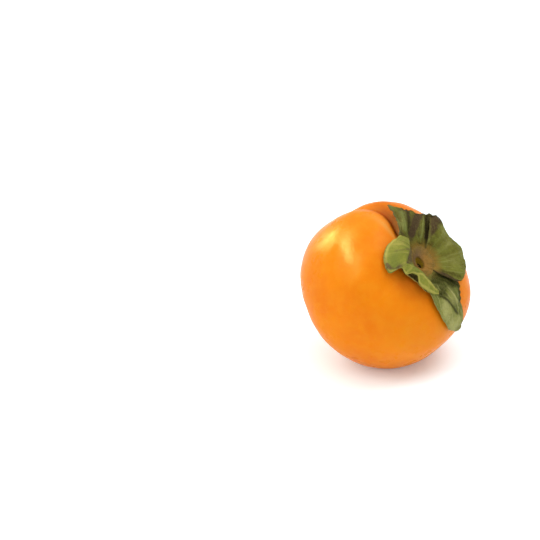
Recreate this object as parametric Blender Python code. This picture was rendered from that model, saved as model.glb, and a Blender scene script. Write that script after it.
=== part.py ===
"""Persimmon: one whole fruit lying on its side, with the dried four-part calyx it grew under.

Metres, +Z up. Every piece is modelled about the fruit's own axis, with the calyx at +Z, and
then laid over together. Azimuth 0 is the side of the fruit that ends up lowest, and azimuth
grows counter-clockwise seen from outside the calyx.
"""

import math

import bmesh
import bpy
import numpy as np
from mathutils import Matrix, Vector

MM = 0.001
DEG = math.radians(1.0)

# How the fruit lies.
TILT = 48.2 * DEG  # its axis from upright
HEADING = -36.2 * DEG  # the calyx from +X towards +Y
FLAT_DEPTH = 2.2 * MM  # skin pressed flat where it rests

# Body.
RADIUS = 37.6 * MM
HALF_HEIGHT = 29.2 * MM
FULLNESS = 2.6  # 2 is an ellipse, more is squarer
TAPER = 0.03  # the blossom half is this much larger, and the calyx half as much smaller
BASIN_DEPTH = 4.8 * MM  # the hollow that the calyx sits in
BASIN_SPREAD = 23.0 * DEG
DIMPLE_DEPTH = 1.0 * MM  # at the blossom end
DIMPLE_SPREAD = 10.0 * DEG
LOBES = ((50.0, 0.055), (140.0, -0.014), (230.0, 0.02), (320.0, 0.008))  # azimuth in degrees, swell
LOBE_WIDTH = 28.0 * DEG
MERIDIANS = 72
PARALLELS = 40

# Creases between the lobes. Three run straight down: azimuth and half-width in degrees, depth in mm.
CREASES = ((275.0, 20.0, 1.2), (5.0, 22.0, 1.0), (95.0, 16.0, 1.6))
CREASE_PEAK = 40.0 * DEG  # deepest this far down from the calyx
CREASE_RISE = 17.0 * DEG
CREASE_FADE = 30.0 * DEG
CREASE_ROUNDING = 2.5 * DEG
# The deep one bends on its way down: (angle down from the calyx, azimuth), and the same with depth.
DEEP_CREASE_LINE = ((14, 199), (25, 195), (32, 190), (38, 184.5), (44, 180), (60, 177.5), (90, 180))
DEEP_CREASE_DEPTH = ((8, 0), (14, 0.3), (25, 2.2), (38, 4.2), (51, 4.0), (70, 3.1), (90, 2.0), (130, 0))
DEEP_CREASE_WIDTH = 8.5

# Calyx.
GAP = 0.3 * MM
SEPAL_THICKNESS = 0.9 * MM
SEPAL_LIFT = GAP + 0.55 * SEPAL_THICKNESS  # a sepal's middle layer over the skin, at its root
DISC_RADIUS = 7.5 * MM
SEPAL_ROOT = DISC_RADIUS + GAP
PIT_RADIUS = 2.9 * MM
PIT_FLOOR = 0.9 * MM
PIT_ASIDE = 2.3 * MM  # how far the pit lies off the axis
PIT_ASIDE_TO = 272.0 * DEG
COLLAR_HEIGHT = 2.1 * MM
STEM_RADIUS = PIT_RADIUS - GAP
STEM_TOP = 1.8 * MM
STYLE_RADIUS = 0.8 * MM
STYLE_LENGTH = 1.6 * MM


def through(x, knots):
    """A smooth curve through a few (place, value) knots: cubic pieces with averaged slopes."""
    places, values = np.array(knots, float).T
    slopes = np.gradient(values, places)
    x = float(np.clip(x, places[0], places[-1]))
    i = min(int(np.searchsorted(places, x, side="right")) - 1, len(places) - 2)
    span = places[i + 1] - places[i]
    t = (x - places[i]) / span
    rise = values[i + 1] - values[i]
    start, end = slopes[i] * span, slopes[i + 1] * span
    return values[i] + t * (start + t * (3 * rise - 2 * start - end + t * (start + end - 2 * rise)))


def skin_radius(polar):
    """Distance of the smooth skin from the fruit's middle, at an angle down from the calyx axis."""
    across = np.abs(np.sin(polar) / RADIUS) ** FULLNESS
    upright = np.abs(np.cos(polar) / HALF_HEIGHT) ** FULLNESS
    basin = BASIN_DEPTH * np.exp(-((polar / BASIN_SPREAD) ** 2))
    dimple = DIMPLE_DEPTH * np.exp(-(((math.pi - polar) / DIMPLE_SPREAD) ** 2))
    return (across + upright) ** (-1.0 / FULLNESS) - basin - dimple


def turn_between(azimuth, middle):
    """The angle from middle to azimuth, kept between minus and plus half a turn."""
    return np.arctan2(np.sin(azimuth - middle), np.cos(azimuth - middle))


def lobe_swell(polar, azimuth):
    """Growth of the body towards the blossom end and at its four lobes, strongest at the middle."""
    swell = 1.0 - TAPER * np.cos(polar)
    for middle, rise in LOBES:
        aside = turn_between(azimuth, middle * DEG)
        swell = swell + rise * np.exp(-((aside / LOBE_WIDTH) ** 2)) * np.abs(np.sin(polar)) ** 1.5
    return swell


def valley(aside, half_width):
    """A rounded V, 1 along its bottom and falling to a third at half_width degrees from it."""
    return np.exp((CREASE_ROUNDING - np.hypot(aside, CREASE_ROUNDING)) / (half_width * DEG))


def crease_depth(polar, azimuth):
    """How far the creases cut in. Three are deepest below the calyx and fade out both ways, and
    the deep one wanders along its own line with its own depth."""
    below_peak = polar - CREASE_PEAK
    spread = np.where(below_peak < 0.0, CREASE_RISE, CREASE_FADE)
    depth = 0.0
    for middle, half_width, deepest in CREASES:
        depth = depth + deepest * valley(turn_between(azimuth, middle * DEG), half_width)
    depth = depth * np.exp(-((below_peak / spread) ** 2))
    line = through(polar / DEG, DEEP_CREASE_LINE) * DEG
    deep = through(polar / DEG, DEEP_CREASE_DEPTH)
    depth = depth + deep * valley(turn_between(azimuth, line), DEEP_CREASE_WIDTH)
    return depth * MM


def skin_line():
    """The smooth skin's profile from the stem outwards: polar angle, length along it, and normal."""
    polar = np.linspace(0.0, 150.0 * DEG, 600)
    radius = skin_radius(polar)
    out = radius * np.sin(polar)
    up = radius * np.cos(polar)
    along = np.concatenate([[0.0], np.cumsum(np.hypot(np.diff(out), np.diff(up)))])
    normal_out = -np.gradient(up, along)
    normal_up = np.gradient(out, along)
    return along, polar, out, up, normal_out, normal_up


LINE = skin_line()


def over_skin(azimuth, reach, lift):
    """The point at this azimuth, this far along the smooth skin from the axis, and lifted off it."""
    along, polars, outs, ups, normals_out, normals_up = LINE
    polar = np.interp(reach, along, polars)
    out = np.interp(reach, along, outs) + lift * np.interp(reach, along, normals_out)
    up = np.interp(reach, along, ups) + lift * np.interp(reach, along, normals_up)
    swell = lobe_swell(polar, azimuth)
    return Vector((out * swell * math.cos(azimuth), out * swell * math.sin(azimuth), up * swell))


def between(across, along, low_edge, high_edge):
    """Azimuth inside a sepal, from (along, degrees) knots of its two side edges."""
    low = through(along, low_edge)
    high = through(along, high_edge)
    return (low + (high - low) * (0.5 + 0.5 * across)) * DEG


def reach_out(along, length):
    return SEPAL_ROOT + (length * MM - SEPAL_ROOT) * along


def lower_sheet(across, along):
    """The longest sepal, draped down the side of the fruit. A fold crosses it from its left margin
    to its tip, rising slowly on the left and dropping sharply on the right."""
    length = through(across, ((-1, 33.4), (-0.5, 35), (0.2, 37.2), (0.7, 37.3), (1, 36)))
    low_edge = ((0, -22), (0.2, -28), (0.38, -30), (0.6, -21), (0.8, -12), (1, -4))
    beside_right = ((0, 20), (0.1, 16), (0.22, 19), (0.34, 26), (0.45, 34))
    hanging_free = ((0.56, 27), (0.65, 20), (0.8, 18), (1, 16))
    azimuth = between(across, along, low_edge, beside_right + hanging_free)
    fold_line = ((0.28, -0.7), (0.36, -0.28), (0.5, -0.04), (0.7, 0.4), (0.85, 0.55), (1, 0.6))
    beside = across - through(along, fold_line)
    fold = 0.8 * math.exp(-((beside / (0.35 if beside < 0 else 0.14)) ** 2))
    fold = fold * through(along, ((0, 0), (0.25, 0.2), (0.45, 1), (0.85, 1), (1, 0.4)))
    lift = (0.1 + 0.45 * along + fold) * MM
    return over_skin(azimuth, reach_out(along, length), SEPAL_LIFT + lift)


def right_sheet(across, along):
    """The broadest sepal: a shallow dome whose margin stands off the shoulder, with a bump at its
    upper corner."""
    low_part = ((-1, 20.6), (-0.62, 22.2), (-0.33, 24), (-0.13, 24.8), (0.09, 22.6), (0.29, 21.5))
    high_part = ((0.44, 22.2), (0.58, 23.8), (0.71, 25.5), (0.82, 25.7), (0.93, 24.2), (1, 23))
    length = through(across, low_part + high_part)
    low_edge = ((0, 28), (0.12, 24), (0.3, 22.5), (0.55, 26), (0.69, 29), (0.85, 34), (1, 43))
    azimuth = between(across, along, low_edge, ((0, 118), (0.3, 123), (0.7, 125), (1, 124)))
    inside = through(along, ((0, 0.1), (0.3, 1.1), (0.6, 2.1), (1, 2)))
    side = through(along, ((0, 0.1), (0.3, 1.6), (0.6, 2.1), (1, 2.3)))
    bump = 1.2 * along * math.exp(-(((across - 0.85) / 0.3) ** 2))
    lift = (inside + (side - inside) * abs(across) ** 2.5 + bump) * MM
    return over_skin(azimuth, reach_out(along, length), SEPAL_LIFT + lift)


def upper_sheet(across, along):
    """The pleated sepal on the high side: two ridges with a valley between, and a pointed corner
    beside the deep crease."""
    low_part = ((-1, 23.6), (-0.76, 23.8), (-0.45, 23), (-0.165, 23.6), (0, 24.7), (0.3, 25.7))
    high_part = ((0.56, 26.6), (0.8, 28.4), (0.92, 29.9), (1, 30.3))
    length = through(across, low_part + high_part)
    high_edge = ((0, 198), (0.3, 199), (0.45, 197), (0.55, 191.5), (0.7, 184.5), (0.85, 179.5), (1, 177))
    azimuth = between(across, along, ((0, 124), (0.3, 129), (1, 130)), high_edge)
    first_ridge = math.exp(-(((across - 0.45) / 0.28) ** 2))
    second_ridge = math.exp(-(((across + 0.4) / 0.28) ** 2))
    cup = max((along - 0.7) / 0.3, 0.0) * max(-0.2 - across, 0.0)
    lift = (0.1 + 0.5 * along + along * (1.3 * first_ridge + 1.6 * second_ridge) + 2.2 * cup) * MM
    return over_skin(azimuth, reach_out(along, length), SEPAL_LIFT + lift)


def left_sheet(across, along):
    """A broad flap that rises to a crest and rolls over, narrowing to a curled tongue at one end."""
    flap = ((-1, 16.5), (-0.88, 16.8), (-0.7, 19.5), (-0.5, 21.9), (-0.3, 23.2), (-0.14, 22.2), (-0.05, 18))
    tongue = ((0.03, 16.3), (0.12, 14.4), (0.29, 13.2), (0.43, 14.6), (0.64, 15.8), (0.8, 16.5), (1, 16.8))
    length = through(across, flap + tongue)
    crest = through(across, ((-1, 2.4), (-0.5, 3.2), (0, 3.1), (0.5, 3.0), (1, 2.8)))
    margin = through(across, ((-1, 1.2), (-0.5, 0.7), (-0.15, 0.7), (0, 1.6), (0.5, 1.8), (1, 2.6)))
    azimuth = between(across, along, ((0, 206), (1, 205)), ((0, 326), (0.5, 337), (1, 342)))
    lift = through(along, ((0, 0), (0.2, 0.55 * crest), (0.45, crest), (1, margin))) * MM
    return over_skin(azimuth, reach_out(along, length), SEPAL_LIFT + lift)


def clear_scene():
    for thing in list(bpy.data.objects):
        bpy.data.objects.remove(thing, do_unlink=True)


def finish(name, colour, roughness):
    material = bpy.data.materials.new(name)
    material.use_nodes = True
    shader = material.node_tree.nodes["Principled BSDF"]
    shader.inputs["Base Color"].default_value = (*colour, 1.0)
    shader.inputs["Roughness"].default_value = roughness
    shader.inputs["Metallic"].default_value = 0.0
    return material


def skin_finish():
    return finish("persimmon_skin", (0.88, 0.27, 0.015), 0.32)


def leaf_finish():
    return finish("dried_green_leaf", (0.19, 0.21, 0.055), 0.6)


def cork_finish():
    return finish("tan_cork", (0.32, 0.17, 0.05), 0.8)


def stem_finish():
    return finish("stem_wood", (0.1, 0.06, 0.02), 0.85)


def style_finish():
    return finish("dark_style", (0.03, 0.018, 0.01), 0.8)


def place(name, shape, material, rig):
    """Turns a bmesh into a named, smooth-shaded piece on the rig."""
    bmesh.ops.recalc_face_normals(shape, faces=shape.faces[:])
    mesh = bpy.data.meshes.new(name)
    shape.to_mesh(mesh)
    shape.free()
    mesh.materials.append(material)
    mesh.shade_smooth()
    mesh.set_sharp_from_angle(angle=50.0 * DEG)
    piece = bpy.data.objects.new(name, mesh)
    piece.parent = rig
    bpy.context.scene.collection.objects.link(piece)
    return piece


def body_point(direction):
    """Where the skin lies in a direction from the fruit's middle."""
    polar = direction.angle(Vector((0.0, 0.0, 1.0)), 0.0)
    azimuth = math.atan2(direction.y, direction.x)
    radius = skin_radius(polar) * lobe_swell(polar, azimuth) - crease_depth(polar, azimuth)
    return direction.normalized() * float(radius)


def add_fruit(rig, down):
    """The body: a sphere's net pulled to the skin, then cut flat where it rests."""
    shape = bmesh.new()
    bmesh.ops.create_uvsphere(shape, u_segments=MERIDIANS, v_segments=PARALLELS, radius=1.0)
    for point in shape.verts:
        point.co = body_point(point.co)
    lowest = max(point.co.dot(down) for point in shape.verts)
    rest_distance = lowest - FLAT_DEPTH
    everything = shape.verts[:] + shape.edges[:] + shape.faces[:]
    cut = bmesh.ops.bisect_plane(
        shape, geom=everything, plane_co=down * rest_distance, plane_no=down, clear_outer=True
    )
    rim = [part for part in cut["geom_cut"] if isinstance(part, bmesh.types.BMEdge)]
    bmesh.ops.contextual_create(shape, geom=rim)
    return place("fruit", shape, skin_finish(), rig), rest_distance


def bend_over_skin(shape):
    """Takes a piece modelled over a flat skin onto the hollow of the real one. Its middle moves
    with the pit, and its rim stays round the axis."""
    for point in shape.verts:
        reach = math.hypot(point.co.x, point.co.y)
        near = min(max((DISC_RADIUS - reach) / (DISC_RADIUS - 1.2 * PIT_RADIUS), 0.0), 1.0)
        step = PIT_ASIDE * near * near * (3.0 - 2.0 * near)
        x = point.co.x + step * math.cos(PIT_ASIDE_TO)
        y = point.co.y + step * math.sin(PIT_ASIDE_TO)
        point.co = over_skin(math.atan2(y, x), math.hypot(x, y), point.co.z)


def add_calyx_disc(rig):
    """The corky plate that joined stem to fruit: a turned section with a collar round a pit."""
    section = (
        (0.0, GAP),
        (0.5 * DISC_RADIUS, GAP),
        (0.95 * DISC_RADIUS, GAP),
        (DISC_RADIUS, 0.8 * MM),
        (0.94 * DISC_RADIUS, 1.3 * MM),
        (0.75 * DISC_RADIUS, 1.6 * MM),
        (1.5 * PIT_RADIUS, COLLAR_HEIGHT),
        (1.25 * PIT_RADIUS, COLLAR_HEIGHT),
        (PIT_RADIUS, 0.85 * COLLAR_HEIGHT),
        (PIT_RADIUS, PIT_FLOOR),
        (0.0, PIT_FLOOR),
    )
    shape = bmesh.new()
    points = [shape.verts.new((reach, 0.0, lift)) for reach, lift in section]
    edges = [shape.edges.new(pair) for pair in zip(points, points[1:])]
    axis = Vector((0.0, 0.0, 1.0))
    bmesh.ops.spin(shape, geom=points + edges, cent=(0, 0, 0), axis=axis, steps=48, angle=math.tau)
    bmesh.ops.remove_doubles(shape, verts=shape.verts[:], dist=0.00001)
    bend_over_skin(shape)
    return place("calyx_disc", shape, cork_finish(), rig)


def add_stem_stub(rig):
    """What is left of the stem, snapped off inside the collar."""
    floor = PIT_FLOOR + GAP
    shape = bmesh.new()
    bmesh.ops.create_cone(
        shape,
        cap_ends=True,
        cap_tris=True,
        segments=24,
        radius1=STEM_RADIUS,
        radius2=0.85 * STEM_RADIUS,
        depth=STEM_TOP - floor,
        matrix=Matrix.Translation((0.0, 0.0, 0.5 * (floor + STEM_TOP))),
    )
    bend_over_skin(shape)
    return place("stem_stub", shape, stem_finish(), rig)


def add_style_tip(rig):
    """The dried thread of the flower's style, left standing at the blossom end."""
    skin = body_point(Vector((0.0, 0.0, -1.0))).z
    middle = Matrix.Translation((0.0, 0.0, skin - GAP - 0.5 * STYLE_LENGTH))
    shape = bmesh.new()
    bmesh.ops.create_cone(
        shape,
        cap_ends=True,
        segments=12,
        radius1=0.35 * STYLE_RADIUS,
        radius2=STYLE_RADIUS,
        depth=STYLE_LENGTH,
        matrix=middle,
    )
    return place("style_tip", shape, style_finish(), rig)


def add_sepal(name, sheet, columns, rows, material, rig):
    """A sepal: a flat net bent to its sheet, then given its thickness."""
    shape = bmesh.new()
    bmesh.ops.create_grid(shape, x_segments=columns, y_segments=rows, size=1.0)
    for point in shape.verts:
        point.co = sheet(point.co.x, 0.5 + 0.5 * point.co.y)
    sepal = place(name, shape, material, rig)
    wall = sepal.modifiers.new("thickness", "SOLIDIFY")
    wall.thickness = SEPAL_THICKNESS
    wall.offset = 0.0
    return sepal


def centre_over_origin(rig, pieces):
    """Slides the laid fruit until the middle of its box stands over the origin."""
    bpy.context.view_layer.update()
    graph = bpy.context.evaluated_depsgraph_get()
    corners = []
    for piece in pieces:
        evaluated = piece.evaluated_get(graph)
        mesh = evaluated.to_mesh()
        places = np.empty(3 * len(mesh.vertices), np.float32)
        mesh.vertices.foreach_get("co", places)
        evaluated.to_mesh_clear()
        turn = np.array(evaluated.matrix_world.to_3x3())
        laid = places.reshape(-1, 3) @ turn.T
        corners += [laid.min(axis=0), laid.max(axis=0)]
    corners = np.array(corners)
    middle = 0.5 * (corners.min(axis=0) + corners.max(axis=0))
    rig.location.x = -float(middle[0])
    rig.location.y = -float(middle[1])


def build():
    clear_scene()
    rig = bpy.data.objects.new("laid_over", None)
    bpy.context.scene.collection.objects.link(rig)
    turn = Matrix.Rotation(HEADING, 3, "Z") @ Matrix.Rotation(TILT, 3, "Y")
    down = turn.inverted() @ Vector((0.0, 0.0, -1.0))
    leaf = leaf_finish()
    fruit, rest_distance = add_fruit(rig, down)
    pieces = [
        fruit,
        add_calyx_disc(rig),
        add_stem_stub(rig),
        add_style_tip(rig),
        add_sepal("sepal_lower", lower_sheet, 22, 14, leaf, rig),
        add_sepal("sepal_right", right_sheet, 22, 10, leaf, rig),
        add_sepal("sepal_upper", upper_sheet, 22, 10, leaf, rig),
        add_sepal("sepal_left", left_sheet, 36, 8, leaf, rig),
    ]
    rig.rotation_euler = turn.to_euler()
    rig.location.z = rest_distance
    centre_over_origin(rig, pieces)


build()
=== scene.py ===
"""A persimmon lying on its side: the fruit, the corky seat of its stem with the broken stub, four
dried sepals, and the tip of the style at the blossom end.

Lengths are in metres and +Z is up. Each piece is shaped about the fruit's own axis, stem end up,
then laid over. Azimuth 0 is the side that ends up lowest, and azimuth grows counter-clockwise
seen from outside the stem end. Reach is the distance along the smooth skin from the axis, and
lift is the height over it.
"""

import math

import bpy
import numpy as np
from mathutils import Matrix, Vector


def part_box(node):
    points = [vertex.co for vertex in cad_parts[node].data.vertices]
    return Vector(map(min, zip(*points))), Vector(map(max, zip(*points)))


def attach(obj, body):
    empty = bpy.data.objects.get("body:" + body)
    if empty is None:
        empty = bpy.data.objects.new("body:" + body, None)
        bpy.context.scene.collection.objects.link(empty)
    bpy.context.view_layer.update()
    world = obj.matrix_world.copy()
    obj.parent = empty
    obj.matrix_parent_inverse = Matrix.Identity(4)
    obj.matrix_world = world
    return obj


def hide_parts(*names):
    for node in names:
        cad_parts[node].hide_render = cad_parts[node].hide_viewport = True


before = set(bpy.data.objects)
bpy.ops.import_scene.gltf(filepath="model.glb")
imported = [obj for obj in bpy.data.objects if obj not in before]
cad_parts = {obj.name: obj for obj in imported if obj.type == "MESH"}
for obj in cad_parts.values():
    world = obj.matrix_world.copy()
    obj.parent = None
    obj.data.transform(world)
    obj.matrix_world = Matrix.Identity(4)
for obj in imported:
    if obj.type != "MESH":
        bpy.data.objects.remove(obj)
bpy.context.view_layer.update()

# ------------
# The fruit: one ripe persimmon, grown as a single body of firm flesh under a thin waxy skin.
# It has four low lobes with creases between them, one of them deep, and a hollow at the stem end.
# It lies on its side as picked, with the skin pressed a little flat where it rests.

MM = 0.001
DEG = math.radians(1.0)
TILT = 48.2 * DEG
HEADING = -36.2 * DEG
RADIUS = 37.6 * MM
HALF_HEIGHT = 29.2 * MM
FULLNESS = 2.6
TAPER = 0.03
BASIN_DEPTH = 4.8 * MM
BASIN_SPREAD = 23.0 * DEG
DIMPLE_DEPTH = 1.0 * MM
DIMPLE_SPREAD = 10.0 * DEG
# Each lobe's azimuth and rise.
LOBES = ((50, 0.055), (140, -0.014), (230, 0.02), (320, 0.008))
LOBE_WIDTH = 28.0 * DEG
# The deep crease's line from the stem down: angle from the stem, azimuth, and depth in mm.
DEEP_CREASE = (
    (14, 199, 0.3), (25, 195, 2.2), (32, 190, 3.6), (38, 184.5, 4.2), (44, 180, 4.2), (51, 177.5, 4),
    (60, 177.5, 3.6), (70, 179, 3.1), (80, 180, 2.6), (90, 180, 2), (100, 180, 1.4), (115, 180, 0.6),
    (130, 180, 0),
)
DEEP_CREASE_WIDTH = 8.5
# The other creases: azimuth, depth in mm, and half width in degrees.
CREASES = ((275, 1.2, 20), (5, 1.0, 22), (95, 1.6, 16))
CREASE_ROUNDING = 2.5 * DEG
CREASE_PEAK = 40.0 * DEG
CREASE_RISE = 17.0 * DEG
CREASE_FADE = 30.0 * DEG
PRESS_SOFTNESS = 0.5 * MM
# The body's unevenness: height and size of its broad and its small swells, less near the stem.
BROAD_SWELL, BROAD_SIZE = 0.20 * MM, 26 * MM
SMALL_SWELL, SMALL_SIZE = 0.07 * MM, 11 * MM
EVEN_POLE = 20.0 * DEG
# Where the skin gets painted shade in the deep crease and a painted highlight along its lip,
# in degrees: beside the crease's line, and down from the stem.
CREVICE_BACK, CREVICE_FRONT = 14.0, 6.5
CREVICE_RUN = (18.0, 32.0, 56.0, 74.0)
LIP_ASIDE, LIP_WIDTH = 17.5, 4.5
LIP_DOWN, LIP_LENGTH = 42.0, 14.0
LIP_STRENGTH = 0.6
# The strip below the calyx that gets a painted shadow of its leaves and stays dull: azimuth,
# then down from the stem.
LEE_MIDDLE, LEE_WIDTH = 292.0, 48.0
LEE_END, LEE_FADE = 32.0, 9.0
LEE_STRENGTH = 0.85


def bell(value, middle, width):
    """A bell curve: 1 at the middle, falling to about a third one width away from it."""
    return np.exp(-(((value - middle) / width) ** 2))


def held(value):
    """The value, kept between 0 and 1."""
    return np.clip(value, 0.0, 1.0)


def points_at(x, y, z):
    """Points from their coordinates, each of which may be the same along some of the axes."""
    return np.stack(np.broadcast_arrays(x, y, z), axis=-1)


def skin_radius(polar):
    """Distance of the smooth skin from the middle: a squarish ellipse less the stem hollow and the
    dimple, each a bell curve about its end of the axis."""
    across = np.abs(np.sin(polar) / RADIUS) ** FULLNESS
    upright = np.abs(np.cos(polar) / HALF_HEIGHT) ** FULLNESS
    basin = BASIN_DEPTH * bell(polar, 0.0, BASIN_SPREAD)
    dimple = DIMPLE_DEPTH * bell(polar, math.pi, DIMPLE_SPREAD)
    return (across + upright) ** (-1.0 / FULLNESS) - basin - dimple


def turn_between(azimuth, middle):
    """The angle from middle to azimuth, kept between minus and plus half a turn."""
    return np.arctan2(np.sin(azimuth - middle), np.cos(azimuth - middle))


def lobe_swell(polar, azimuth):
    """Growth of the body: a taper towards the stem, and a bell curve over each lobe that fades
    towards both ends of the axis."""
    swell = 1.0 - TAPER * np.cos(polar)
    for middle, rise in LOBES:
        aside = turn_between(azimuth, middle * DEG)
        swell = swell + rise * bell(aside, 0.0, LOBE_WIDTH) * np.abs(np.sin(polar)) ** 1.5
    return swell


def valley(aside, half_width):
    """A rounded V, 1 along its bottom and falling to a third at half_width degrees from it."""
    return np.exp((CREASE_ROUNDING - np.hypot(aside, CREASE_ROUNDING)) / (half_width * DEG))


def crease_depth(polar, azimuth):
    """How far the creases cut in. Three are deepest below the calyx and fade out both ways, and
    the deep one wanders along its own line with its own depth."""
    spread = np.where(polar < CREASE_PEAK, CREASE_RISE, CREASE_FADE)
    depth = 0.0
    for middle, deepest, half_width in CREASES:
        depth = depth + deepest * valley(turn_between(azimuth, middle * DEG), half_width)
    depth = depth * bell(polar, CREASE_PEAK, spread)
    down, across, deep = np.array(DEEP_CREASE).T
    line = np.interp(polar, down * DEG, across * DEG)
    deep = np.interp(polar, down * DEG, deep, left=0.0, right=0.0)
    return MM * (depth + deep * valley(turn_between(azimuth, line), DEEP_CREASE_WIDTH))


def ripple(places, size, seed, waves=20):
    """Smooth random bumps about this size: plane waves in fixed random directions, added up so
    that the result mostly stays between minus and plus 1."""
    dice = np.random.default_rng(seed)
    ways = dice.normal(size=(3, waves))
    ways *= dice.uniform(0.7, 1.4, waves) * math.tau / size / np.linalg.norm(ways, axis=0)
    starts = dice.uniform(0.0, math.tau, waves)
    return np.sin(places @ ways + starts).sum(axis=-1) / math.sqrt(waves)


def turned_faces(rings, around):
    """Quads between neighbouring rings of points, each ring closed on itself, and triangles that
    close the first and the last ring, each onto one of the two points that come after them all."""
    here = np.arange(rings * around).reshape(rings, around)
    after = np.roll(here, -1, axis=1)
    quads = np.stack([here[:-1], here[1:], after[1:], after[:-1]], axis=-1).reshape(-1, 4)
    ends = ((here[0], here.size), (here[-1][::-1], here.size + 1))
    caps = [np.stack([ring, np.roll(ring, -1), np.full_like(ring, tip)], axis=-1) for ring, tip in ends]
    return [quads, *caps]


def put_in(name, data):
    """Puts a mesh, a lamp or a lens into the scene as an object."""
    thing = bpy.data.objects.new(name, data)
    bpy.context.scene.collection.objects.link(thing)
    return thing


def add_piece(name, points, faces, traits):
    """Makes a smooth mesh of points and arrays of faces, with one attribute for each trait."""
    mesh = bpy.data.meshes.new(name)
    mesh.from_pydata(points.tolist(), [], sum([part.tolist() for part in faces], []))
    mesh.shade_smooth()
    for trait, values in traits.items():
        kind, slot = ("FLOAT_VECTOR", "vector") if np.ndim(values) == 2 else ("FLOAT", "value")
        stored = mesh.attributes.new(trait, kind, "POINT")
        stored.data.foreach_set(slot, np.ascontiguousarray(values, np.float32).ravel())
    return put_in(name, mesh)


LAID = np.array(Matrix.Rotation(HEADING, 3, "Z") @ Matrix.Rotation(TILT, 3, "Y"))
MERIDIANS = 384
PARALLELS = 196

polar = np.linspace(0.0, math.pi, PARALLELS + 2)[:, None]
azimuth = np.linspace(0.0, math.tau, MERIDIANS, endpoint=False)[None, :]
facing = points_at(np.sin(polar) * np.cos(azimuth), np.sin(polar) * np.sin(azimuth), np.cos(polar))
radius = skin_radius(polar) * lobe_swell(polar, azimuth) - crease_depth(polar, azimuth)
turned = (facing * radius[..., None]) @ LAID.T
cad_low, cad_high = (np.array(corner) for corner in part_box("fruit"))
turned_low, turned_high = turned.min(axis=(0, 1)), turned.max(axis=(0, 1))
SEAT = 0.5 * (cad_low + cad_high - turned_low - turned_high)
SEAT[2] = cad_high[2] - turned_high[2]


def lay_over(places):
    """From the fruit's own axis to where the fruit lies."""
    return places @ LAID.T + SEAT


uneven = BROAD_SWELL * ripple(facing * RADIUS, BROAD_SIZE, 11)
uneven = uneven + SMALL_SWELL * ripple(facing * RADIUS, SMALL_SIZE, 12)
uneven = uneven * held(polar / EVEN_POLE)
skin = lay_over(facing * (radius + uneven)[..., None])
height = skin[..., 2]
skin[..., 2] = 0.5 * (height + np.sqrt(height**2 + PRESS_SOFTNESS**2))
rings = skin[1:-1].reshape(-1, 3)
line_down, line_across, _ = np.array(DEEP_CREASE).T * DEG
past_line = turn_between(azimuth, np.interp(polar, line_down, line_across)) / DEG
# Painted shade in the deep crease.
crevice_shade = bell(past_line, 0.0, np.where(past_line < 0.0, CREVICE_BACK, CREVICE_FRONT))
crevice_shade = crevice_shade * np.interp(polar / DEG, CREVICE_RUN, (0.0, 1.0, 1.0, 0.0))
# Painted highlight along the lip of the deep crease.
lip_highlight = LIP_STRENGTH * bell(past_line, LIP_ASIDE, LIP_WIDTH) * bell(polar / DEG, LIP_DOWN, LIP_LENGTH)
# Painted shadow of the calyx on the skin below it.
lee_shadow = bell(turn_between(azimuth, LEE_MIDDLE * DEG) / DEG, 0.0, LEE_WIDTH)
lee_shadow = LEE_STRENGTH * lee_shadow * bell(np.maximum(polar / DEG, LEE_END), LEE_END, LEE_FADE)
down_axis = np.broadcast_to(polar / math.pi, height.shape)


def on_rings(values, at_blossom=0.0):
    """One value for each point of the skin: all of its rings, then its two ends."""
    return np.append(values[1:-1].ravel(), [0.0, at_blossom])


fruit = add_piece(
    "persimmon_skin",
    np.concatenate([rings, skin[0, :1], skin[-1, :1]]),
    turned_faces(PARALLELS, MERIDIANS),
    {
        "crevice_shade": on_rings(crevice_shade),
        "lip_highlight": on_rings(lip_highlight),
        "lee_shadow": on_rings(lee_shadow),
        "down_axis": on_rings(down_axis, 1.0),
    },
)


def dab(tree, kind, settings=(), **inputs):
    """Adds one shader node and returns it. An input given a socket is linked, any other is set.
    Its name has underscores for spaces, or is an underscore and the input's number."""
    made = tree.nodes.new("ShaderNode" + kind)
    for name, value in dict(settings).items():
        setattr(made, name, value)
    for name, value in inputs.items():
        socket = made.inputs[int(name[1:])] if name[1:].isdigit() else made.inputs[name.replace("_", " ")]
        if isinstance(value, bpy.types.NodeSocket):
            tree.links.new(value, socket)
        else:
            socket.default_value = value
    return made


def sum_up(tree, way, first, second=0.0, third=0.0):
    """One Math node: way is its operation."""
    return dab(tree, "Math", {"operation": way}, _0=first, _1=second, _2=third).outputs[0]


def swing(tree, value, low, high, start=0.0, end=1.0):
    """value eased from start at low to end at high, and held outside them."""
    way = {"interpolation_type": "SMOOTHSTEP"}
    made = dab(tree, "MapRange", way, Value=value, From_Min=low, From_Max=high, To_Min=start, To_Max=end)
    return made.outputs["Result"]


def tint(tree, amount, under, over):
    """Colour over laid on colour under by amount. A colour is three numbers or a socket."""
    under, over = (c if isinstance(c, bpy.types.NodeSocket) else (*c, 1.0) for c in (under, over))
    return dab(tree, "Mix", {"data_type": "RGBA"}, _0=amount, _6=under, _7=over).outputs[2]


def cloud(tree, where, size, detail=2.0, roughness=0.5):
    """Soft random patches about this size, from 0 to 1."""
    made = dab(tree, "TexNoise", (), Vector=where, Scale=1.0 / size, Detail=detail, Roughness=roughness)
    return made.outputs["Fac"]


def pebble(tree, where, size, feature="F1"):
    """Distance to the nearest of many scattered spots this far apart, or to the edge between."""
    return dab(tree, "TexVoronoi", {"feature": feature}, Vector=where, Scale=1.0 / size).outputs["Distance"]


def trait(tree, name, output="Fac"):
    """One of the attributes that add_piece stored."""
    return dab(tree, "Attribute", {"attribute_name": name}).outputs[output]


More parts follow.
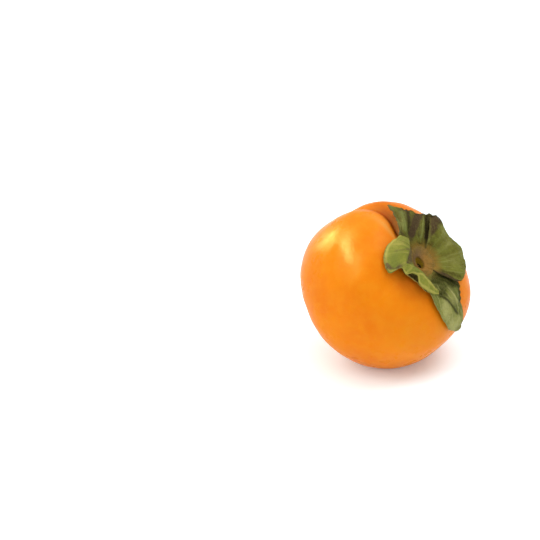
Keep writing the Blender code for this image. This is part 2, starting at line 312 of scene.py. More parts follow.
def emboss(tree, height, depth, under=None):
    """A bump of this depth in metres, over another bump."""
    made = dab(tree, "Bump", (), Height=height, Strength=1.0, Distance=depth)
    if under:
        tree.links.new(under, made.inputs["Normal"])
    return made.outputs["Normal"]


def set_on(node, settings):
    """Sets plain values on a node's sockets."""
    for name, value in settings.items():
        node.inputs[name].default_value = value


def new_finish(name):
    """An empty material: its node tree, its shader, and where on the object a point is."""
    material = bpy.data.materials.new(name)
    material.use_nodes = True
    tree = material.node_tree
    return material, tree, tree.nodes["Principled BSDF"], dab(tree, "TexCoord").outputs["Object"]


def join_up(tree, shader, colour, roughness, bump, shine):
    """Joins a material's colour, roughness and bump to its shader, and sets how much it mirrors."""
    for name, made in (("Base Color", colour), ("Roughness", roughness), ("Normal", bump)):
        tree.links.new(made, shader.inputs[name])
    set_on(shader, {"Specular IOR Level": shine})


DEEP_ORANGE = (0.68, 0.162, 0.003)
BRIGHT_ORANGE = (0.73, 0.2, 0.004)
YELLOW_ORANGE = (0.73, 0.24, 0.008)
DOT_YELLOW = (0.75, 0.34, 0.03)
END_RED = (0.56, 0.11, 0.002)
# Painted shade in the crease, painted highlight on its lip, and painted shadow below the calyx.
CREVICE_SHADE = (0.33, 0.052, 0.0005)
LIP_HIGHLIGHT = (0.62, 0.3, 0.07)
LEE_SHADOW = (0.4, 0.092, 0.001)


def persimmon_finish():
    """Orange skin with a satin wax: patches of deeper and yellower orange, fine pale dots, and
    redder towards the blossom end. It is dull in the deep crease and below the calyx, where
    painted shade and a painted shadow of the calyx darken it, and a painted highlight pales the
    crest beside the crease."""
    material, tree, shader, where = new_finish("persimmon_skin")
    patches = swing(tree, cloud(tree, where, 30 * MM, 3.0), 0.35, 0.65)
    colour = tint(tree, patches, DEEP_ORANGE, BRIGHT_ORANGE)
    mottle = swing(tree, cloud(tree, where, 4.0 * MM, 4.0, 0.6), 0.40, 0.68, 0.0, 0.42)
    colour = tint(tree, mottle, colour, YELLOW_ORANGE)
    dots = swing(tree, pebble(tree, where, 0.9 * MM), 0.10, 0.26, 0.20, 0.0)
    colour = tint(tree, dots, colour, DOT_YELLOW)
    colour = tint(tree, swing(tree, trait(tree, "down_axis"), 0.45, 1.0, 0.0, 0.45), colour, END_RED)
    # Painted shade in the crease, painted highlight on its lip, and painted shadow below the calyx.
    for name, over in (("crevice_shade", CREVICE_SHADE), ("lip_highlight", LIP_HIGHLIGHT), ("lee_shadow", LEE_SHADOW)):
        colour = tint(tree, trait(tree, name), colour, over)
    satin = swing(tree, cloud(tree, where, 7 * MM, 4.0, 0.6), 0.3, 0.7, 0.24, 0.38)
    hidden = sum_up(tree, "ADD", trait(tree, "crevice_shade"), trait(tree, "lee_shadow"))
    dull = sum_up(tree, "MULTIPLY_ADD", hidden, 0.35, satin)
    pores = emboss(tree, pebble(tree, where, 1.3 * MM), 0.03 * MM)
    orange_peel = emboss(tree, cloud(tree, where, 2.2 * MM, 3.0, 0.6), 0.10 * MM, pores)
    join_up(tree, shader, colour, dull, orange_peel, 0.05)
    set_on(shader, {"Subsurface Weight": 0.12, "Subsurface Scale": 3.0 * MM})
    set_on(shader, {"Subsurface Radius": (1.0, 0.35, 0.08)})
    return material


fruit.data.materials.append(persimmon_finish())
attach(fruit, "root")
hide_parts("fruit")

# ------------
# The seat of the stem: the corky plate in the middle of the calyx, grown fast to the fruit. It
# is a low ring of tan bark with fine wrinkles running outwards, round the pit that held the stem.


def skin_line():
    """The smooth skin's profile from the stem outwards: length along it, angle, place, normal."""
    angle = np.linspace(0.0, 150.0 * DEG, 600)
    out = skin_radius(angle) * np.sin(angle)
    up = skin_radius(angle) * np.cos(angle)
    along = np.concatenate([[0.0], np.cumsum(np.hypot(np.diff(out), np.diff(up)))])
    return along, angle, out, up, -np.gradient(up, along), np.gradient(out, along)


def over_skin(azimuth, reach, lift):
    """Points at this azimuth, this far along the smooth skin from the axis, lifted off it along
    its normal, and grown with the lobes. Azimuth is in radians, and reach and lift are in mm."""
    reach, lift = np.multiply(reach, MM), np.multiply(lift, MM)
    along, angles, outs, ups, normals_out, normals_up = skin_line()
    angle = np.interp(reach, along, angles)
    out = np.interp(reach, along, outs) + lift * np.interp(reach, along, normals_out)
    up = np.interp(reach, along, ups) + lift * np.interp(reach, along, normals_up)
    swell = lobe_swell(angle, azimuth)
    return points_at(out * swell * np.cos(azimuth), out * swell * np.sin(azimuth), up * swell)


def curve(x, places, values):
    """A smooth curve through values, or tables of them, at these places: cubic pieces, whose slope
    at a place is the average of those beside it."""
    slopes = np.gradient(values, places, axis=0)
    x = np.clip(x, places[0], places[-1])
    i = np.clip(np.searchsorted(places, x, side="right") - 1, 0, len(places) - 2)
    shape = x.shape + (1,) * (values.ndim - 1)
    span = (places[i + 1] - places[i]).reshape(shape)
    t = (x - places[i]).reshape(shape) / span
    rise = values[i + 1] - values[i]
    start, end = slopes[i] * span, slopes[i + 1] * span
    return values[i] + t * (start + t * (3 * rise - 2 * start - end + t * (start + end - 2 * rise)))


def through(x, knots):
    """The same curve through (place, value) knots."""
    return curve(x, *np.array(knots, float).T)


# Reach and lift are in mm.
SEAT_SECTION = (
    (0, 0.9), (1.9, 0.95), (2.6, 1.1), (3.4, 1.75), (4, 2),
    (4.6, 1.95), (5.6, 1.65), (6.8, 1.4), (7.5, 1.25), (7.9, 0.9),
)
SEAT_RADIUS = 7.9
# Two rings close its underside: their share of the reach, and their lift.
BASE_SHARES, BASE_LIFTS = ((0.99,), (0.6,)), ((0.5,), (0.3,))
WRINKLE_DEPTH, LUMP_HEIGHT = 0.06, 0.10
SEAT_AROUND = 240
SEAT_STEPS = 64
PIT_ASIDE = 2.3
PIT_ASIDE_TO = 272.0 * DEG
PIT_SHARE, ASIDE_END = 3.4, 7.6
GREYED_SIDE = 205.0 * DEG


def off_axis(azimuth, reach):
    """Azimuth and reach moved with the pit, which is a little off the axis: the whole way inside
    PIT_SHARE, and less and less out to ASIDE_END."""
    step = held((ASIDE_END - reach) / (ASIDE_END - PIT_SHARE))
    step = PIT_ASIDE * step * step * (3.0 - 2.0 * step)
    across = reach * np.cos(azimuth) + step * math.cos(PIT_ASIDE_TO)
    along = reach * np.sin(azimuth) + step * math.sin(PIT_ASIDE_TO)
    return np.arctan2(along, across), np.hypot(across, along)


def all_round(count):
    """Even azimuths all the way round, and their places on a flat unit circle, to ripple over."""
    azimuth = np.linspace(0.0, math.tau, count, endpoint=False)[None, :]
    return azimuth, points_at(np.cos(azimuth), np.sin(azimuth), 0.0)


share = np.linspace(0.0, 1.0, SEAT_STEPS + 1)[1:, None]
azimuth, circle = all_round(SEAT_AROUND)
outline = 0.05 * ripple(circle, 1.6, 21) + 0.02 * ripple(circle, 0.5, 22)
reach = SEAT_RADIUS * share * (1.0 + outline * share**2)
wrinkles = ripple(circle * 4.5 + 0.10 * share[..., None], 1.1, 23) * held((share - 0.42) / 0.3)
lumps = ripple(circle * SEAT_RADIUS * share[..., None], 2.6, 24) * held((share - 0.3) / 0.15)
lift = through(SEAT_RADIUS * share, SEAT_SECTION)
lift = lift + WRINKLE_DEPTH * wrinkles * (1 - share**6) + LUMP_HEIGHT * lumps
moved_to, moved_reach = off_axis(azimuth, reach)
top = over_skin(moved_to, moved_reach, lift)
under = over_skin(azimuth, reach[-1:] * BASE_SHARES, BASE_LIFTS)
seat_rings = np.concatenate([top, under]).reshape(-1, 3)
tips = over_skin(PIT_ASIDE_TO, (PIT_ASIDE, 0.0), (0.9, 0.3))
far = np.append(np.concatenate([reach, reach[-1:], reach[-1:]]).ravel(), [0.0, 0.0])
turned_to = np.append(np.tile(azimuth.ravel(), SEAT_STEPS + 2), [0.0, 0.0])
stem_seat = add_piece(
    "stem_seat",
    lay_over(np.concatenate([seat_rings, tips])),
    turned_faces(SEAT_STEPS + 2, SEAT_AROUND),
    {
        "reach": far,
        "greyed": 0.5 + 0.5 * np.cos(turned_to - GREYED_SIDE),
        "spokes": np.stack([np.cos(turned_to), np.sin(turned_to), 0.05 * far], axis=1),
    },
)

CORK_TAN, CORK_GREY = (0.34, 0.16, 0.03), (0.155, 0.092, 0.045)
WRINKLE_BROWN = (0.12, 0.062, 0.016)
CORK_EDGE = (0.165, 0.11, 0.022)
PIT_OLIVE = (0.12, 0.064, 0.001)
CRUMB_BUFF = (0.36, 0.22, 0.07)


def cork_finish():
    """Tan bark, greyer and more purple on one side, darker in its wrinkles and olive in the pit."""
    material, tree, shader, where = new_finish("tan_cork")
    greyed = sum_up(tree, "MULTIPLY_ADD", cloud(tree, where, 3 * MM), 0.5, trait(tree, "greyed"))
    colour = tint(tree, swing(tree, greyed, 0.55, 1.15), CORK_TAN, CORK_GREY)
    spokes = cloud(tree, trait(tree, "spokes", "Vector"), 0.09, 3.0, 0.6)
    colour = tint(tree, swing(tree, spokes, 0.42, 0.62, 0.0, 0.35), colour, WRINKLE_BROWN)
    reach = trait(tree, "reach")
    edge = sum_up(tree, "MULTIPLY_ADD", cloud(tree, where, 3 * MM, 4.0, 0.6), 6.0, reach)
    colour = tint(tree, swing(tree, edge, 6.8, 11.0, 0.0, 0.95), colour, CORK_EDGE)
    colour = tint(tree, swing(tree, reach, 3.0, 3.9, 0.9, 0.0), colour, PIT_OLIVE)
    crumbs = swing(tree, cloud(tree, where, 0.5 * MM, 4.0, 0.7), 0.35, 0.75)
    colour = tint(tree, sum_up(tree, "MULTIPLY", crumbs, 0.35), colour, CRUMB_BUFF)
    dull = swing(tree, crumbs, 0.0, 1.0, 0.60, 0.85)
    bark = emboss(tree, crumbs, 0.12 * MM, emboss(tree, spokes, 0.5 * MM))
    join_up(tree, shader, colour, dull, bark, 0.05)
    return material


stem_seat.data.materials.append(cork_finish())
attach(stem_seat, "root")
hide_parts("calyx_disc")

# ------------
# The stub: what is left in the pit of the woody stem, which snapped off when the fruit was
# picked. Its fibres tore in a ragged ring round a hollow of pith, which is painted near-black as shade.

STUB_RADIUS = 2.9
STUB_SECTION = ((0.0, 1.35), (0.7, 1.4), (1.3, 1.5), (2.1, 1.65), (2.6, 1.55), (2.85, 1.25), (2.9, 1.0))
STUB_BASE, STUB_FLOOR, TORN_HEIGHT = 0.8, 0.85, 0.20
PITH_X, PITH_Y = 1.25, -1.3
PITH_RADIUS, PITH_DEPTH, HOLLOW_SHADE_SPREAD = 1.0, 1.5, 2.5
STUB_AROUND = 120
STUB_STEPS = 30

share = np.linspace(0.0, 1.0, STUB_STEPS + 1)[1:, None]
azimuth, circle = all_round(STUB_AROUND)
torn = ripple(circle * 1.6 * held(share[..., None] + 0.3), 0.55, 31)
reach = STUB_RADIUS * share * (1.0 + 0.04 * ripple(circle, 0.7, 32))
from_pith = np.hypot(reach * np.cos(azimuth) - PITH_X, reach * np.sin(azimuth) - PITH_Y) / PITH_RADIUS
lift = through(STUB_RADIUS * share, STUB_SECTION) - PITH_DEPTH * bell(from_pith, 0.0, 1.0)
lift = np.maximum(lift, STUB_FLOOR) + TORN_HEIGHT * torn * np.sin(math.pi * share) ** 0.7
moved_to, moved_reach = off_axis(azimuth, reach)
top = over_skin(moved_to, moved_reach, lift)
base = over_skin(moved_to[-1:], moved_reach[-1:], STUB_BASE)
stub_rings = np.concatenate([top, base]).reshape(-1, 3)
tips = over_skin(PIT_ASIDE_TO, PIT_ASIDE, (1.35, STUB_BASE))
# Painted near-black shade in the hollow of the stub.
hollowed = np.exp(-np.concatenate([from_pith, from_pith[-1:]]) ** 2 / HOLLOW_SHADE_SPREAD)
stem_stub = add_piece(
    "broken_stem",
    lay_over(np.concatenate([stub_rings, tips])),
    turned_faces(STUB_STEPS + 1, STUB_AROUND),
    {"hollow_shade": np.append(hollowed.ravel(), [0.0, 0.0])},
)

WOOD_DARK, WOOD_LIGHT = (0.11, 0.06, 0.001), (0.185, 0.112, 0.004)
HOLLOW_SHADE_BLACK = (0.008, 0.003, 0.001)


def torn_wood_finish():
    """Olive-brown torn wood, with near-black painted shade in the hollow at its middle."""
    material, tree, shader, where = new_finish("torn_stem_wood")
    fibres = cloud(tree, where, 0.35 * MM, 4.0, 0.7)
    colour = tint(tree, swing(tree, fibres, 0.35, 0.65), WOOD_DARK, WOOD_LIGHT)
    # Painted near-black shade in the hollow.
    colour = tint(tree, swing(tree, trait(tree, "hollow_shade"), 0.15, 0.6), colour, HOLLOW_SHADE_BLACK)
    dull = swing(tree, fibres, 0.3, 0.7, 0.7, 0.9)
    join_up(tree, shader, colour, dull, emboss(tree, fibres, 0.3 * MM), 0.05)
    return material


stem_stub.data.materials.append(torn_wood_finish())
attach(stem_stub, "root")
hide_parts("stem_stub")

# ------------
# The lower sepal: the longest of the four dried, leathery lobes of the calyx, grown out of the
# seat and draped down the side of the fruit. A fold crosses it from its left margin to its tip.

SEPAL_ROOT = 6.3
SEPAL_THICKNESS = 0.75 * MM
SPOT_KINDS = ("brown", "dark", "pale")
STREAK_ENDS = 0.12
DRABNESS = 0.6
CRUMPLE, CRUMPLE_SIZE = 0.16, 5.5 * MM
GRAIN, GRAIN_SIZE = 0.07, 1.6 * MM
# Along a sepal's margin: how wide it curls, is torn, thins out and is rounded.
CURL_WIDTH = 1.1 * MM
TORN_WIDTH, TORN_SIZE = 1.5 * MM, 2.4 * MM
THIN_WIDTH, ROUND_WIDTH = 3.5 * MM, 0.3 * MM


def eased(count):
    """Places from -1 to 1, closer together near both ends."""
    steps = np.linspace(-1.0, 1.0, count)
    return 0.5 * (steps + np.sin(0.5 * math.pi * steps))


def on_map(azimuth, reach):
    """Places on a flat map of the skin, where reach is the distance from the middle."""
    return np.stack([reach * np.cos(azimuth * DEG), reach * np.sin(azimuth * DEG)], axis=-1)


def beside_line(azimuth, reach, knots):
    """Signed distance in mm from a line over the skin, and the place along it from 0 to 1. The
    line passes through (azimuth in degrees, reach in mm) knots, and both are measured on the flat
    map. Distance is positive on the line's left."""
    fine = np.linspace(0.0, 1.0, 80)
    line = on_map(*curve(fine, np.linspace(0.0, 1.0, len(knots)), np.array(knots, float)).T)
    way = np.gradient(line, axis=0)
    way /= np.linalg.norm(way, axis=1)[:, None]
    gaps = on_map(azimuth, reach)[..., None, :] - line
    nearest = np.argmin((gaps**2).sum(axis=-1), axis=-1)
    gap = np.take_along_axis(gaps, nearest[..., None, None], axis=-2)[..., 0, :]
    side = way[nearest][..., 0] * gap[..., 1] - way[nearest][..., 1] * gap[..., 0]
    return side, fine[nearest]


def fade_out(place, ends):
    """1 along a line, falling to 0 at both its ends over this share of it."""
    return held(np.minimum(place, 1.0 - place) / ends)


def fold(azimuth, reach, knots, height, left, right, ends):
    """A fold along such a line: this high on it, falling away over a width on its left and right
    in mm, and fading out towards its ends."""
    side, place = beside_line(azimuth, reach, knots)
    return height * fade_out(place, ends) ** 0.5 * bell(side, 0.0, np.where(side > 0.0, left, right))


def between(across, along, lengths, low_edge, high_edge):
    """Azimuth in degrees and reach in mm inside a sepal, from (across, mm) knots of its length
    and (along, degrees) knots of its two side edges."""
    low, high = through(along, low_edge), through(along, high_edge)
    reach = SEPAL_ROOT + (through(across, lengths) - SEPAL_ROOT) * along
    return low + (high - low) * (0.5 + 0.5 * across), reach


def margin_distance(places):
    """Distance of each point of a net from the nearest end of its own row and column."""
    down = np.linalg.norm(np.diff(places, axis=0), axis=2)
    down = np.concatenate([np.zeros_like(down[:1]), np.cumsum(down, axis=0)])
    over = np.linalg.norm(np.diff(places, axis=1), axis=2)
    over = np.concatenate([np.zeros_like(over[:, :1]), np.cumsum(over, axis=1)], axis=1)
    return np.minimum.reduce([down, down[-1:] - down, over, over[:, -1:] - over])


def net_faces(net):
    """Quads between the neighbouring rows and columns of a net of point numbers."""
    return np.stack([net[:-1, :-1], net[:-1, 1:], net[1:, 1:], net[1:, :-1]], axis=-1).reshape(-1, 4)


def add_sepal(name, sheet, spots, streaks, columns, rows, curl, torn, seed, tuck_shading=None):
    """A sepal as a closed shell. sheet gives azimuth, reach and lift on a net of across and along.
    The net is roughened, its margin curled by curl mm and made ragged by torn mm, and two skins
    are set half the thickness off it along its normals. They thin out towards the margin and close
    there in a round rim. A spot is a bell curve: kind, azimuth, reach, a width of each, strength.
    A streak follows a line: kind, knots, width, strength. The part folded under gets painted shade,
    below a painted highlight along its crease: it reaches from one place to another across, and
    starts at one along."""
    across, along = np.meshgrid(eased(columns), 0.5 + 0.5 * eased(rows), indexing="ij")
    azimuth, reach, lift = sheet(across, along)
    sketch = over_skin(azimuth * DEG, reach, lift)
    margin = margin_distance(sketch)
    loose = held(along * 2.0 - 0.2)
    crumple = CRUMPLE * ripple(sketch, CRUMPLE_SIZE, seed) + GRAIN * ripple(sketch, GRAIN_SIZE, seed + 1)
    lift = lift + loose * (crumple + curl * np.exp(-margin / CURL_WIDTH))
    ragged = torn * loose * np.exp(-margin / TORN_WIDTH)
    azimuth = azimuth + ragged * ripple(sketch, TORN_SIZE, seed + 2) / (reach * DEG)
    reach = reach + ragged * ripple(sketch, TORN_SIZE, seed + 3)
    middle = over_skin(azimuth * DEG, reach, lift)
    normal = np.cross(np.gradient(middle, axis=1), np.gradient(middle, axis=0))
    normal /= np.linalg.norm(normal, axis=2)[..., None]
    rim = np.sqrt(1.0 - (1.0 - held(margin / ROUND_WIDTH)) ** 2)
    half = 0.5 * SEPAL_THICKNESS * rim * (0.5 + 0.5 * held(margin / THIN_WIDTH))
    outer = middle + normal * half[..., None]
    inner = (middle - normal * half[..., None])[1:-1, 1:-1]
    front = np.arange(columns * rows).reshape(columns, rows)
    back = front.copy()
    back[1:-1, 1:-1] = front.size + np.arange(inner.size // 3).reshape(inner.shape[:2])
    patches = np.zeros((columns, rows, 3))
    for kind, turn, far, turn_width, far_width, strength in spots:
        spot = bell(azimuth, turn, turn_width) * bell(reach, far, far_width)
        patches[..., SPOT_KINDS.index(kind)] += strength * spot
    for kind, knots, width, strength in streaks:
        side, place = beside_line(azimuth, reach, knots)
        streak = bell(side, 0.0, width) * fade_out(place, STREAK_ENDS)
        patches[..., SPOT_KINDS.index(kind)] += strength * streak
    if tuck_shading:
        # The part folded under gets painted shade, and a painted highlight runs along the crease above it.
        first, last, start = tuck_shading
        ends = held(np.minimum(across - first, last - across) / 0.05)
        patches[..., SPOT_KINDS.index("dark")] += 2.5 * ends * held((along - start) / 0.04)
        patches[..., SPOT_KINDS.index("pale")] += 1.3 * bell(along, start - 0.05, 0.03)

    def both(values):
        """The values of the outer skin's points, then those of the inner skin's."""
        flat = values.reshape(front.size, -1)
        return np.concatenate([flat, values[1:-1, 1:-1].reshape(-1, flat.shape[1])]).squeeze()

    return add_piece(
        name,
        lay_over(np.concatenate([outer.reshape(-1, 3), inner.reshape(-1, 3)])),
        [net_faces(front), np.roll(net_faces(back)[:, ::-1], 1, axis=1)],
        {
            "lines": both(np.stack([across, along, np.zeros_like(along)], axis=-1)),
            "margin": both(margin / MM),
            "reach": both(reach),
            "patches": both(patches),
            "beneath": np.repeat([0.0, DRABNESS], [front.size, inner.size // 3]),
        },
    )


LOWER_LENGTH = ((-1, 33.4), (-0.5, 35.0), (0.2, 37.2), (0.7, 37.3), (1, 36))
LOWER_LEFT = (
    (0, -24), (0.2, -31), (0.38, -31), (0.48, -26), (0.585, -22), (0.685, -17), (0.79, -13), (0.92, -7),
    (1, -4),
)
LOWER_RIGHT = (
    (0, 26), (0.2, 34), (0.35, 39), (0.487, 34), (0.553, 27), (0.617, 22), (0.7, 19), (0.8, 18), (0.9, 18),
    (1, 16),
)
LOWER_FOLD = (
    (-30, 16.6), (-17, 17.6), (-6, 19.3), (-1, 21.1), (2, 23.5), (4, 25.4), (9, 29.1), (11, 32),
)
LOWER_LIFT, LOWER_RISE = 0.85, 0.45
FOLD_HEIGHT, FOLD_BEFORE, FOLD_BEHIND = 1.05, 3.2, 0.55
GROOVE_DEPTH, GROOVE_ASIDE, GROOVE_WIDTH = 0.25, 0.75, 0.5
RIDGE_HEIGHT, RIDGE_RATE = 0.16, 2.6


def lower_sheet(across, along):
    """A strap between its two side edges. It rises from the left margin to a fold, drops sharply
    into a groove behind it, and carries low ridges beyond."""
    azimuth, reach = between(across, along, LOWER_LENGTH, LOWER_LEFT, LOWER_RIGHT)
    side, place = beside_line(azimuth, reach, LOWER_FOLD)
    fade = held(np.minimum(place + 0.05, 1.05 - place) / 0.2)
    bank = FOLD_HEIGHT * bell(side, 0.0, np.where(side < 0, FOLD_BEFORE, FOLD_BEHIND))
    groove = GROOVE_DEPTH * bell(side, GROOVE_ASIDE, GROOVE_WIDTH)
    ridges = RIDGE_HEIGHT * np.cos(side * RIDGE_RATE) * held(side / 2.0)
    lift = LOWER_LIFT + LOWER_RISE * along + fade * (bank - groove) + ridges
    return azimuth, reach, lift


ROOT_TAN = (0.22, 0.122, 0.022)
UNDERSIDE_DRAB = (0.19, 0.15, 0.06)


def leaf_finish(name, green, pale, dark, deep, stain, rim, root):
    """A dried green leaf: patches of two greens, streaks and veins fanning out from the root, a
    fine net of veins, pale, deep and stained patches with soft ragged edges, tan at the root as
    strong as root says, and a rim of its own colour. The pale and deep patches hold painted
    light and painted shade as well as marks of the leaf's own. Its underside is drab."""
    material, tree, shader, where = new_finish(name)
    lines = trait(tree, "lines", "Vector")
    wide = dab(tree, "Mapping", (), Vector=lines, Scale=(9.0, 0.8, 1.0)).outputs[0]
    fine = dab(tree, "Mapping", (), Vector=lines, Scale=(30.0, 1.6, 1.0)).outputs[0]
    patches = cloud(tree, where, 6.5 * MM, 3.0, 0.55)
    colour = tint(tree, swing(tree, patches, 0.36, 0.64), dark, green)
    streaks = cloud(tree, wide, 1.0, 3.0, 0.6)
    colour = tint(tree, swing(tree, streaks, 0.50, 0.72, 0.0, 0.7), colour, pale)
    threads = cloud(tree, fine, 1.0, 2.0, 0.5)
    colour = tint(tree, swing(tree, threads, 0.45, 0.30, 0.0, 0.45), colour, dark)
    patched = dab(tree, "SeparateXYZ", (), _0=trait(tree, "patches", "Vector")).outputs
    ragged = sum_up(tree, "MULTIPLY_ADD", cloud(tree, where, 2.0 * MM, 4.0, 0.65), 1.1, -0.55)
    # The pale and deep patches carry painted light and painted shade as well as marks of the leaf's own.
    for amount, laid in ((patched[2], pale), (patched[1], deep), (patched[0], stain)):
        amount = sum_up(tree, "ADD", amount, ragged)
        colour = tint(tree, swing(tree, amount, 0.05, 1.05, 0.0, 0.95), colour, laid)
    net = pebble(tree, where, 1.5 * MM, "DISTANCE_TO_EDGE")
    colour = tint(tree, swing(tree, net, 0.10, 0.0, 0.0, 0.10), colour, pale)
    flecks = swing(tree, cloud(tree, where, 0.8 * MM, 3.0, 0.65), 0.62, 0.75, 0.0, 0.45)
    colour = tint(tree, flecks, colour, stain)
    from_root = sum_up(tree, "MULTIPLY_ADD", cloud(tree, wide, 1.0), 4.0, trait(tree, "reach"))
    colour = tint(tree, swing(tree, from_root, 8.8, 13.5, root, 0.0), colour, ROOT_TAN)
    colour = tint(tree, trait(tree, "beneath"), colour, UNDERSIDE_DRAB)
    from_rim = sum_up(tree, "MULTIPLY_ADD", cloud(tree, where, 2 * MM), 0.8, trait(tree, "margin"))
    colour = tint(tree, swing(tree, from_rim, 0.45, 0.95, 0.8, 0.0), colour, rim)
    dull = swing(tree, patches, 0.3, 0.7, 0.46, 0.62)
    raised = emboss(tree, threads, 0.25 * MM, emboss(tree, streaks, 0.6 * MM))
    raised = emboss(tree, swing(tree, net, 0.0, 0.16), 0.05 * MM, raised)
    raised = emboss(tree, cloud(tree, where, 0.5 * MM, 3.0, 0.6), 0.05 * MM, raised)
    join_up(tree, shader, colour, dull, raised, 0.04)
    return material


def dress_sepal(piece, finish, node):
    """Gives a sepal its material, and puts it in the place of its node."""
    piece.data.materials.append(finish)
    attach(piece, "root")
    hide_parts(node)


# The dark spots at azimuth 24 and 31 are a painted shadow of the right sepal's lower edge on this one.
LOWER_SPOTS = (
    ("dark", 4, 11, 26, 3.5, 1.3), ("dark", 24, 15, 8, 4, 1.2), ("dark", 31, 18.5, 5, 2.5, 1.4),
    ("dark", -8, 17, 9, 2, 0.8), ("pale", 12, 21, 6, 4, 0.45), ("dark", 3, 16.8, 7, 2, 0.6),
    ("pale", -8, 24, 8, 6, 0.9), ("pale", 3, 33, 10, 5, 1), ("brown", 12, 36, 6, 1.2, 0.5),
)
# The first dark streak, along the fold, is painted shade in its groove.
LOWER_STREAKS = (
    ("dark", ((-20, 16.9), (-9, 18.5), (-2, 20.9), (2, 23.3), (4, 25.8), (9, 29.3)), 0.9, 1.1),
    ("dark", ((-4, 15), (2, 18.5), (7, 22), (11, 26)), 0.6, 0.5),
    ("pale", ((1, 14), (3, 18), (6, 21), (9, 25)), 0.6, 0.6),
    ("dark", ((10, 14), (12, 18), (13, 22), (14, 27)), 0.6, 0.4),
    ("pale", ((14, 15.5), (14, 19), (14, 23), (13, 27)), 0.7, 0.7),
    ("dark", ((37, 16), (33, 19), (26, 22), (21, 24.5), (18, 27)), 0.8, 1.4),
)
lower_sepal = add_sepal(
    "lower_sepal", lower_sheet, LOWER_SPOTS, LOWER_STREAKS,
    columns=190, rows=170, curl=0.15, torn=0.10, seed=40,
)
lower_leaf = leaf_finish(
    "leaf_lower",
    green=(0.19, 0.195, 0.038), pale=(0.36, 0.34, 0.115), dark=(0.118, 0.128, 0.03),
    deep=(0.04, 0.04, 0.006), stain=(0.12, 0.085, 0.04), rim=(0.24, 0.21, 0.06), root=0.3,
)
dress_sepal(lower_sepal, lower_leaf, "sepal_lower")

# ------------
# The right sepal: the broadest lobe, a shallow dome with a smooth face. Its margin stands off
# the shoulder of the fruit, its lower edge rides over the lower sepal, and its upper corner swells
# into a bump beside a deep valley.

RIGHT_LENGTH = (
    (-1, 20.6), (-0.62, 22.2), (-0.33, 24), (-0.13, 24.8), (-0.02, 24), (0.09, 22.6), (0.29, 21.5),
    (0.44, 22.2), (0.58, 23.8), (0.71, 25.5), (0.82, 25.7), (0.93, 24.2), (1, 23),
)
RIGHT_LOW = (
    (0, 24), (0.1, 20), (0.29, 19), (0.44, 22), (0.55, 23.5), (0.69, 27), (0.85, 32), (0.957, 38), (1, 43),
)
RIGHT_HIGH = ((0, 128), (0.3, 134), (0.7, 135), (1, 133))
RIGHT_BUMP = ((125, 10), (125, 16), (124, 21), (123, 26))
RIGHT_LOW_LIFT = ((0, 0.9), (0.1, 1.7), (0.3, 2.5), (0.6, 2.9), (1, 3.0))
RIGHT_MIDDLE_LIFT = ((0, 0.9), (0.3, 1.9), (0.6, 2.9), (1, 2.8))
RIGHT_HIGH_LIFT = ((0, 0.9), (0.4, 2.3), (0.8, 3.0), (1, 3.2))
RIGHT_WAVE, RIGHT_WAVE_RATE = 0.12, 9.0


def right_sheet(across, along):
    """A shallow dome between its two side edges, with a bump near one of them. Its lift grows
    from the middle's to each edge's by a power of across."""
    azimuth, reach = between(across, along, RIGHT_LENGTH, RIGHT_LOW, RIGHT_HIGH)
    middle = through(along, RIGHT_MIDDLE_LIFT)
    to_low = (through(along, RIGHT_LOW_LIFT) - middle) * np.abs(across) ** 2.5
    to_high = (through(along, RIGHT_HIGH_LIFT) - middle) * np.abs(across) ** 3
    lift = middle + np.where(across < 0, to_low, to_high)
    lift = lift + fold(azimuth, reach, RIGHT_BUMP, height=1.9, left=2.4, right=4.0, ends=0.4)
    return azimuth, reach, lift + RIGHT_WAVE * along * np.cos(RIGHT_WAVE_RATE * across)


RIGHT_SPOTS = (
    ("brown", 125, 24, 9, 4, 1.4), ("brown", 129, 17, 6, 5, 1.2), ("dark", 121, 11, 9, 4, 0.6),
    ("pale", 96, 18, 9, 4, 0.5), ("pale", 62, 15, 10, 4, 0.6), ("pale", 110, 19, 5, 4, 0.4),
)
# The dark streak from azimuth 30 to 42 is painted shade near the lower edge, where it stands off the lower
# sepal.
RIGHT_STREAKS = (
    ("brown", ((18, 7.5), (21, 10), (24, 12.5), (25, 14.5), (28, 17.5), (34, 20)), 0.95, 2.4),
    ("dark", ((30, 8), (33, 12), (37, 16), (42, 20)), 1.3, 0.8),
    ("dark", ((76, 9), (78, 14), (80, 20)), 0.7, 0.35),
    ("pale", ((90, 9), (92, 14), (92, 20)), 0.9, 0.35),
    ("brown", ((88, 20), (96, 21), (104, 19)), 1.2, 0.35),
    ("dark", ((100, 9), (102, 14), (102, 20)), 0.8, 0.35),
)
right_sepal = add_sepal(
    "right_sepal", right_sheet, RIGHT_SPOTS, RIGHT_STREAKS,
    columns=200, rows=150, curl=0.2, torn=0.08, seed=50,
)
right_leaf = leaf_finish(
    "leaf_right",
    green=(0.147, 0.152, 0.024), pale=(0.205, 0.2, 0.052), dark=(0.11, 0.105, 0.014),
    deep=(0.055, 0.046, 0.006), stain=(0.05, 0.028, 0.013), rim=(0.06, 0.044, 0.016), root=1.0,
)
dress_sepal(right_sepal, right_leaf, "sepal_right")

# ------------
# The upper sepal: the lobe on the high side, pleated like a fan as it dried, with brown and
# purple patches and a ragged end that draws out to a corner beside the deep crease of the fruit.

